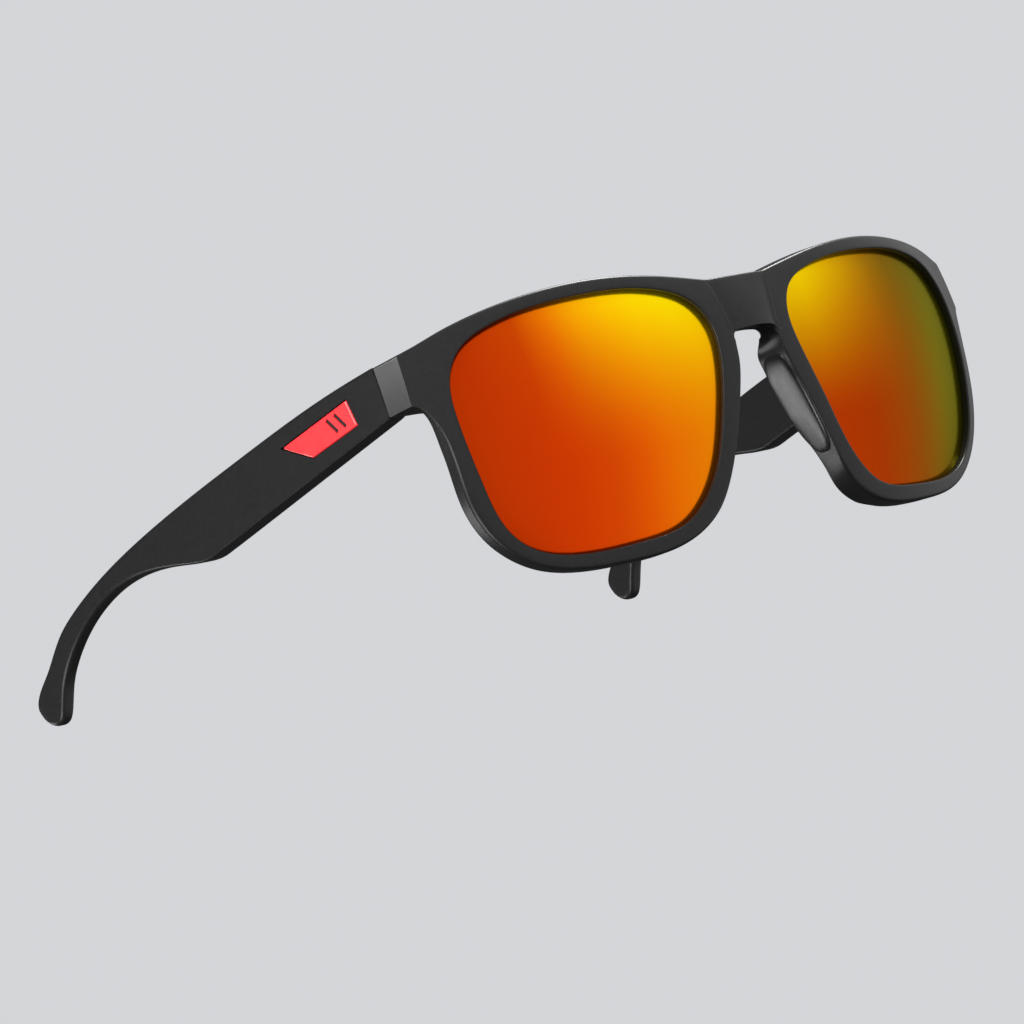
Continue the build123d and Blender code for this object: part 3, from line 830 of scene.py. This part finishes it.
def temple_rows():
    stations = [pair for pair in temple_stations() if pair[1][0] > TEMPLE_START]
    rows = temple_front()
    tip = stations[-1][0]
    for top, bottom in stations[:-1]:
        reach = min(distance(top, tip), distance(bottom, tip))
        thin = np.sqrt(1 - (1 - min(1, (reach + TIP_LEFT) / TIP_ROUND)) ** 2)
        ear = ease((top[0] - EAR_FROM) / EAR_RUN)
        rows.append(temple_section(top, bottom, thin=thin, ear=ear))
    return [splayed(r) for r in rows]


def splay_out(side):
    """The direction that an open temple's outer face looks in."""
    return np.array([side * cos(SPLAY), -sin(SPLAY), 0])


def badge_outline(gap):
    """The badge's corners moved outwards by gap."""
    p = np.array(BADGE)
    moved = []
    for i in range(4):
        to_last, to_next = unit(p[i - 1] - p[i]), unit(p[(i + 1) % 4] - p[i])
        half = np.arccos(to_last @ to_next) / 2
        moved.append(p[i] - unit(to_last + to_next) * gap / sin(half))
    return moved


def build_temple(side, name, plastic):
    bm = bmesh.new()
    rows = [r * (side, 1, 1) for r in temple_rows()]
    verts = add_grid(bm, rows, closed_columns=True)
    bm.faces.new(verts[0])
    bm.faces.new(verts[-1])
    obj = make_object("arm_" + name, bm, [plastic])
    room = splayed([(TEMPLE_OUT - BADGE_DEPTH, y, z) for y, z in badge_outline(BADGE_GAP)])
    pocket = prism("pocket_" + name, room * (side, 1, 1), np.zeros(3), splay_out(side) * 3)
    at = side * HINGE[0], HINGE[1]
    notch = upright_cylinder("arm_notch_" + name, *at, NOTCH_R, CUT_LOW, CUT_HIGH)
    cut(obj, [pocket, notch])
    polish(obj)
    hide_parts("temple_" + name)
    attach(obj, name + "_arm")


# ======== badges ========

def badge_rows(side):
    """The badge's outline from its back to its bevelled face."""
    levels = [
        (0.0, -BADGE_DEPTH + 0.05), (0.0, BADGE_PROUD - BADGE_BEVEL), (-0.12, BADGE_PROUD - 0.12),
        (-BADGE_BEVEL, BADGE_PROUD),
    ]
    rows = []
    for gap, level in levels:
        corners = badge_outline(gap)
        loop = []
        for i in range(4):
            loop += fillet(corners[i - 1], corners[i], corners[(i + 1) % 4], BADGE_CORNER, 3)
        points = [(TEMPLE_OUT + level, y, z) for y, z in loop]
        rows.append(splayed(points) * (side, 1, 1))
    return rows


def mark_cutters(side):
    """Two slanting slots, a plain mark."""
    cutters = []
    for start, end in MARKS:
        start, end = np.array(start), np.array(end)
        wide = unit(np.array([start[1] - end[1], end[0] - start[0]])) * MARK_HALF
        outline = [start - wide, end - wide, end + wide, start + wide]
        base = splayed([(TEMPLE_OUT + BADGE_PROUD - MARK_DEPTH, y, z) for y, z in outline])
        cutters.append(prism("mark", base * (side, 1, 1), np.zeros(3), splay_out(side) * 2))
    return cutters


def build_badge(side, name, lacquer, dark):
    bm = bmesh.new()
    verts = add_grid(bm, badge_rows(side), closed_columns=True)
    bm.faces.new(verts[0])
    bm.faces.new(verts[-1])
    obj = make_object("badge_plate_" + name, bm, [lacquer, dark])
    cut(obj, mark_cutters(side))
    outward = Vector(splay_out(side))
    hinge = Vector(to_row((side * HINGE[0], HINGE[1], 0)))
    slot_floor = (TEMPLE_OUT - HINGE[0] + BADGE_PROUD - MARK_DEPTH) / 1000
    for face in obj.data.polygons:
        above = (face.center - hinge).dot(outward) - slot_floor
        aligned = abs(face.normal.dot(outward)) > 0.9
        face.material_index = 1 if aligned and -0.00015 < above < 0.00005 else 0
    polish(obj, 20)
    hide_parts("badge_" + name)
    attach(obj, name + "_arm")


# ======== materials ========

def new_material(name):
    material = bpy.data.materials.new(name)
    material.use_nodes = True
    tree = material.node_tree
    return material, tree, tree.nodes["Principled BSDF"]


def node(tree, kind, **settings):
    made = tree.nodes.new(kind)
    for key, value in settings.items():
        if key in made.inputs:
            made.inputs[key].default_value = value
        else:
            setattr(made, key, value)
    return made


def link(tree, out, into):
    tree.links.new(out, into)


def noise(tree, scale, detail):
    place = node(tree, "ShaderNodeTexCoord")
    made = node(tree, "ShaderNodeTexNoise", Scale=scale, Detail=detail, Roughness=0.6)
    link(tree, place.outputs["Object"], made.inputs["Vector"])
    return made.outputs["Fac"]


def ranged(tree, value, low, high, from_low=0.3, from_high=0.7):
    """value, taken from between from_low and from_high to between low and high."""
    made = node(tree, "ShaderNodeMapRange")
    limits = {"From Min": from_low, "From Max": from_high, "To Min": low, "To Max": high}
    for name, limit in limits.items():
        made.inputs[name].default_value = limit
    link(tree, value, made.inputs["Value"])
    return made.outputs["Result"]


def ramp(tree, value, stops):
    made = node(tree, "ShaderNodeValToRGB")
    elements = made.color_ramp.elements
    while len(elements) < len(stops):
        elements.new(0.5)
    for element, (place, colour) in zip(elements, stops):
        element.position = place
        element.color = (*colour, 1)
    link(tree, value, made.inputs["Fac"])
    return made.outputs["Color"]


BUMP_HEIGHT = 0.00001  # metres


def bump(tree, shader, height, strength):
    made = node(tree, "ShaderNodeBump")
    made.inputs["Strength"].default_value = strength
    made.inputs["Distance"].default_value = BUMP_HEIGHT
    link(tree, height, made.inputs["Height"])
    link(tree, made.outputs["Normal"], shader.inputs["Normal"])


def speckle(tree, shader, scale, detail, dark, light):
    """A base colour that wanders between two tones."""
    tone = ramp(tree, noise(tree, scale, detail), [(0.3, dark), (0.7, light)])
    link(tree, tone, shader.inputs["Base Color"])


def roughen(tree, shader, scale, detail, low, high):
    """A roughness that wanders between two values."""
    wandering = ranged(tree, noise(tree, scale, detail), low, high)
    link(tree, wandering, shader.inputs["Roughness"])


def satin_plastic(name, dark, light):
    """Moulded nylon with a fine spark-eroded grain."""
    material, tree, shader = new_material(name)
    speckle(tree, shader, 900.0, 4.0, dark, light)
    roughen(tree, shader, 700.0, 4.0, 0.31, 0.35)
    bump(tree, shader, noise(tree, 3600.0, 2.0), 0.15)
    shader.inputs["IOR"].default_value = 1.5
    shader.inputs["Specular IOR Level"].default_value = 0.25
    return material


def soft_rubber():
    material, tree, shader = new_material("soft_rubber")
    speckle(tree, shader, 260.0, 3.0, (0.010, 0.010, 0.011), (0.016, 0.016, 0.017))
    roughen(tree, shader, 500.0, 3.0, 0.27, 0.31)
    bump(tree, shader, noise(tree, 1200.0, 1.0), 0.1)
    return material


LENS_SPAN = 52.0       # mm of lens, across, that a coat's two colour runs cover
COAT_LOW, COAT_HIGH = -0.010, 0.020   # metres up the lens from where the low run gives way to the high run, which is lighter by painted reflection
COAT_SHARPNESS = 1.9
MIX_LOW, MIX_HIGH, MIX_COLOUR = 6, 7, 2   # a mix node's two colour inputs and its colour output


def coat_with_painted_reflection(name, below, above, side):
    """A multi-layer mirror coat, with painted reflection and shade in its colour. Its colour drifts
    across the lens, from the nose outwards, along one run of colours low down and another high up. The
    runs are partly the coat's own tint and partly painted reflection and shade: the high run is lighter
    where light from above is painted in as reflection, and the low run is darker as painted shade."""
    material, tree, shader = new_material(name)
    place = node(tree, "ShaderNodeTexCoord")
    centred = node(tree, "ShaderNodeVectorMath", operation="SUBTRACT")
    link(tree, place.outputs["Object"], centred.inputs[0])
    centred.inputs[1].default_value = tuple(to_row((side * LENS_X, 0, 0)))
    across = node(tree, "ShaderNodeVectorMath", operation="DOT_PRODUCT")
    link(tree, centred.outputs["Vector"], across.inputs[0])
    across.inputs[1].default_value = (side * cos(WRAP) * 1000 / LENS_SPAN, 0, 0)
    drift = node(tree, "ShaderNodeMath", operation="ADD")
    link(tree, across.outputs["Value"], drift.inputs[0])
    link(tree, ranged(tree, noise(tree, 22.0, 1.0), 0.49, 0.51), drift.inputs[1])
    split = node(tree, "ShaderNodeSeparateXYZ")
    link(tree, centred.outputs["Vector"], split.inputs["Vector"])
    height = ranged(tree, split.outputs["Z"], 0, 1, COAT_LOW, COAT_HIGH)
    share = node(tree, "ShaderNodeMath", operation="POWER")
    link(tree, height, share.inputs[0])
    share.inputs[1].default_value = COAT_SHARPNESS
    mix = node(tree, "ShaderNodeMix", data_type="RGBA")
    link(tree, share.outputs["Value"], mix.inputs["Factor"])
    # both runs hold painted reflection and shade besides the coat's own tint
    for runs, socket in ((below, MIX_LOW), (above, MIX_HIGH)):
        stops = [((u + LENS_SPAN / 2) / LENS_SPAN, (red, green, 0.001)) for u, red, green in runs]
        link(tree, ramp(tree, drift.outputs["Value"], stops), mix.inputs[socket])
    link(tree, mix.outputs[MIX_COLOUR], shader.inputs["Base Color"])
    shader.inputs["Metallic"].default_value = 0.92
    shader.inputs["Specular Tint"].default_value = (0.6, 0.6, 0.04, 1)
    roughen(tree, shader, 300.0, 3.0, 0.18, 0.21)
    return material


def smoked_back():
    """The lens's inner face: dark smoked polycarbonate."""
    material, tree, shader = new_material("smoked_back")
    speckle(tree, shader, 40.0, 2.0, (0.020, 0.016, 0.014), (0.028, 0.022, 0.018))
    roughen(tree, shader, 500.0, 3.0, 0.25, 0.28)
    shader.inputs["IOR"].default_value = 1.58
    return material


def red_lacquer():
    material, tree, shader = new_material("red_lacquer")
    speckle(tree, shader, 500.0, 4.0, (0.78, 0.026, 0.032), (0.84, 0.036, 0.042))
    roughen(tree, shader, 900.0, 3.0, 0.28, 0.36)
    shader.inputs["Coat Weight"].default_value = 0.3
    shader.inputs["Coat Roughness"].default_value = 0.15
    return material


def steel(name, rough, stretch):
    """Stainless steel with a fine grain drawn out along one direction."""
    material, tree, shader = new_material(name)
    place = node(tree, "ShaderNodeTexCoord")
    mapping = node(tree, "ShaderNodeMapping")
    mapping.inputs["Scale"].default_value = stretch
    link(tree, place.outputs["Object"], mapping.inputs["Vector"])
    grain = node(tree, "ShaderNodeTexNoise", Scale=1500.0, Detail=4.0)
    link(tree, mapping.outputs["Vector"], grain.inputs["Vector"])
    stops = [(0.3, (0.50, 0.50, 0.51)), (0.7, (0.58, 0.58, 0.59))]
    link(tree, ramp(tree, grain.outputs["Fac"], stops), shader.inputs["Base Color"])
    shader.inputs["Metallic"].default_value = 1.0
    wandering = ranged(tree, grain.outputs["Fac"], rough - 0.02, rough + 0.04)
    link(tree, wandering, shader.inputs["Roughness"])
    bump(tree, shader, grain.outputs["Fac"], 0.15)
    return material


def finish_nodes(prefixes, material):
    for name, obj in frame["nodes"].items():
        if any(name.startswith(p) for p in prefixes):
            for slot in obj.material_slots:
                slot.material = material


# ======== stage, lights, camera ========

FLOOR_HALF = 1.0
FLOOR_FADE, FLOOR_END = 0.15, 0.8   # metres out, between which it fades into the background


def pale_floor():
    """A pale floor that is seen only from above, so that a camera below it sees past it."""
    mesh = bpy.data.meshes.new("floor")
    signs = ((-1, -1), (1, -1), (1, 1), (-1, 1))
    mesh.from_pydata([(a * FLOOR_HALF, b * FLOOR_HALF, 0) for a, b in signs], [], [(0, 1, 2, 3)])
    floor = bpy.data.objects.new("floor", mesh)
    bpy.context.scene.collection.objects.link(floor)
    material, tree, shader = new_material("pale_floor")
    speckle(tree, shader, 60.0, 5.0, (0.185, 0.186, 0.19), (0.195, 0.196, 0.20))
    shader.inputs["Roughness"].default_value = 0.7
    shader.inputs["Specular IOR Level"].default_value = 0.0
    side = node(tree, "ShaderNodeNewGeometry")
    place = node(tree, "ShaderNodeTexCoord")
    away = node(tree, "ShaderNodeVectorMath", operation="LENGTH")
    link(tree, place.outputs["Object"], away.inputs[0])
    faded = node(tree, "ShaderNodeMath", operation="MAXIMUM")
    link(tree, ranged(tree, away.outputs["Value"], 0, 1, FLOOR_FADE, FLOOR_END), faded.inputs[0])
    link(tree, side.outputs["Backfacing"], faded.inputs[1])
    clear = node(tree, "ShaderNodeBsdfTransparent")
    mix = node(tree, "ShaderNodeMixShader")
    link(tree, faded.outputs["Value"], mix.inputs["Fac"])
    link(tree, shader.outputs["BSDF"], mix.inputs[1])
    link(tree, clear.outputs["BSDF"], mix.inputs[2])
    link(tree, mix.outputs["Shader"], tree.nodes["Material Output"].inputs["Surface"])
    mesh.materials.append(material)
    floor.visible_diffuse = False
    floor.visible_glossy = False
    floor.visible_shadow = False


FRONT_GLOW = (0.42, -0.78, 0.45)   # the direction of the large soft light before the lenses
GLOW_DIM, GLOW_BRIGHT = 0.05, 1.25   # the world's light away from it and within it
GLOW_FROM, GLOW_TO = -0.05, 0.40     # shares of that direction between which it grows


def pale_world():
    """An even pale background, and lighting that comes mostly from the glow's direction."""
    world = bpy.data.worlds.new("studio")
    bpy.context.scene.world = world
    world.use_nodes = True
    tree = world.node_tree
    seen = tree.nodes["Background"]
    seen.inputs["Color"].default_value = (0.66, 0.67, 0.69, 1)
    lighting = node(tree, "ShaderNodeBackground")
    place = node(tree, "ShaderNodeTexCoord")
    ahead = node(tree, "ShaderNodeVectorMath", operation="DOT_PRODUCT")
    link(tree, place.outputs["Generated"], ahead.inputs[0])
    ahead.inputs[1].default_value = FRONT_GLOW
    glow = ranged(tree, ahead.outputs["Value"], GLOW_DIM, GLOW_BRIGHT, GLOW_FROM, GLOW_TO)
    link(tree, glow, lighting.inputs["Strength"])
    path = node(tree, "ShaderNodeLightPath")
    mix = node(tree, "ShaderNodeMixShader")
    link(tree, path.outputs["Is Camera Ray"], mix.inputs["Fac"])
    link(tree, lighting.outputs["Background"], mix.inputs[1])
    link(tree, seen.outputs["Background"], mix.inputs[2])
    link(tree, mix.outputs["Shader"], tree.nodes["World Output"].inputs["Surface"])


def area_light(name, place, target, width, height, power):
    data = bpy.data.lights.new(name, "AREA")
    data.shape = "RECTANGLE"
    data.size, data.size_y = width, height
    data.energy = power
    light = bpy.data.objects.new(name, data)
    light.location = place
    light.rotation_mode = "QUATERNION"
    light.rotation_quaternion = (Vector(target) - Vector(place)).to_track_quat("-Z", "Y")
    light.visible_camera = False
    bpy.context.scene.collection.objects.link(light)


# Area lights, all aimed at the glasses: name, place from their middle, width, height, watts.
LIGHTS = [
    ("overhead", (0.42, -0.05, 0.85), 0.5, 0.35, 17),
    ("side_left", (-1.0, -0.1, 0.08), 0.3, 0.4, 5.5),
    ("upper_left", (-0.83, 0.1, 0.5), 0.4, 0.3, 7),
    ("rear_left", (-0.8, 0.40, 0.1), 0.2, 0.3, 0.5),
    ("lower_left", (-0.75, 0.05, -0.45), 0.45, 0.35, 4),
    ("lower_back", (-0.3, 0.85, -0.28), 0.3, 0.3, 1.0),
]


def studio_lights(centre):
    for name, place, width, height, power in LIGHTS:
        area_light(name, Vector(centre) + Vector(place), centre, width, height, power)


# ---- camera: where the photographer stood, in the drawing's millimetres ----
CAMERA_PLACE = (-523.0, -613.0, -62.7)
CAMERA_AIM = radians(36.61)   # turned from +Y towards +X
CAMERA_RISE = radians(3.58)
CAMERA_ROLL = radians(14.084)
CAMERA_LENS = 146.48
SENSOR = 36.0
CAMERA_SHIFT = (0.01144, 0.0027)


def make_camera():
    data = bpy.data.cameras.new("camera")
    data.lens, data.sensor_width = CAMERA_LENS, SENSOR
    data.shift_x, data.shift_y = CAMERA_SHIFT
    data.clip_start, data.clip_end = 0.01, 20
    camera = bpy.data.objects.new("camera", data)
    forward = Vector((
        sin(CAMERA_AIM) * cos(CAMERA_RISE), cos(CAMERA_AIM) * cos(CAMERA_RISE), sin(CAMERA_RISE)
    ))
    level = forward.cross(Vector((0, 0, 1))).normalized()
    upward = level.cross(forward)
    right = cos(CAMERA_ROLL) * level - sin(CAMERA_ROLL) * upward
    up = cos(CAMERA_ROLL) * upward + sin(CAMERA_ROLL) * level
    turn = Matrix((right, up, -forward)).transposed()
    camera.matrix_world = Matrix.Translation(to_row(CAMERA_PLACE)) @ turn.to_4x4()
    bpy.context.scene.collection.objects.link(camera)
    bpy.context.scene.camera = camera


# ======== the scene ========

BLACK = (0.0085, 0.0085, 0.009), (0.012, 0.012, 0.0125)
frame_plastic = satin_plastic("frame_satin", *BLACK)
arm_plastic = satin_plastic("arm_satin", *BLACK)
rubber = soft_rubber()
lacquer = red_lacquer()
dark_paint = satin_plastic("mark_black", (0.012, 0.012, 0.012), (0.02, 0.02, 0.02))
leaf_steel = steel("leaf_steel", 0.34, (0.15, 1.0, 1.0))
screw_steel = steel("screw_steel", 0.26, (1.0, 1.0, 0.2))
finish_nodes([a + "_hinge_" + b for a in ("front", "temple") for b in ("left", "right")], leaf_steel)
finish_nodes(["front_hinge_screws", "temple_hinge_screws", "hinge_screw"], screw_steel)

# Colour runs across each lens, low down and high up: (mm from the middle, red, green). Both lenses wear
# one coat: the runs mix its own tint with painted reflection and shade, lighter high up, and darker on
# the left lens than on the right.
COAT_AND_REFLECTION_RUNS = {
    "right": (
        [(-23, 0.80, 0.22), (-12, 0.79, 0.147), (-6, 0.74, 0.091), (0, 0.65, 0.058),
         (8, 0.60, 0.040), (16, 0.54, 0.034), (25, 0.48, 0.032)],
        [(-20, 0.99, 0.76), (-12, 0.99, 0.67), (-6, 0.98, 0.55), (0, 0.94, 0.39),
         (6, 0.82, 0.18), (12, 0.58, 0.056), (22, 0.48, 0.030)],
    ),
    "left": (
        [(-20, 0.43, 0.034), (-10, 0.38, 0.035), (-3, 0.34, 0.050), (3, 0.28, 0.068),
         (9, 0.23, 0.10), (15, 0.18, 0.135), (25, 0.15, 0.155)],
        [(-20, 0.88, 0.60), (-12, 0.70, 0.39), (-6, 0.52, 0.25), (0, 0.34, 0.15),
         (6, 0.21, 0.105), (12, 0.16, 0.10), (22, 0.13, 0.12)],
    ),
}

sections = rim_sections()
pad_runs = pad_walls(sections[-1])
smoke = smoked_back()
build_front(frame_plastic, sections)
for side, name in ((1, "left"), (-1, "right")):
    build_lens(side, name, coat_with_painted_reflection("coat_with_painted_reflection_" + name, *COAT_AND_REFLECTION_RUNS[name], side), smoke)
    build_pad(side, name, rubber, pad_runs)
    build_temple(side, name, arm_plastic)
    build_badge(side, name, lacquer, dark_paint)

bpy.context.scene.view_settings.view_transform = "Standard"
low, high = cad_box
studio_lights(tuple((low + high) / 2))
pale_world()
pale_floor()
make_camera()
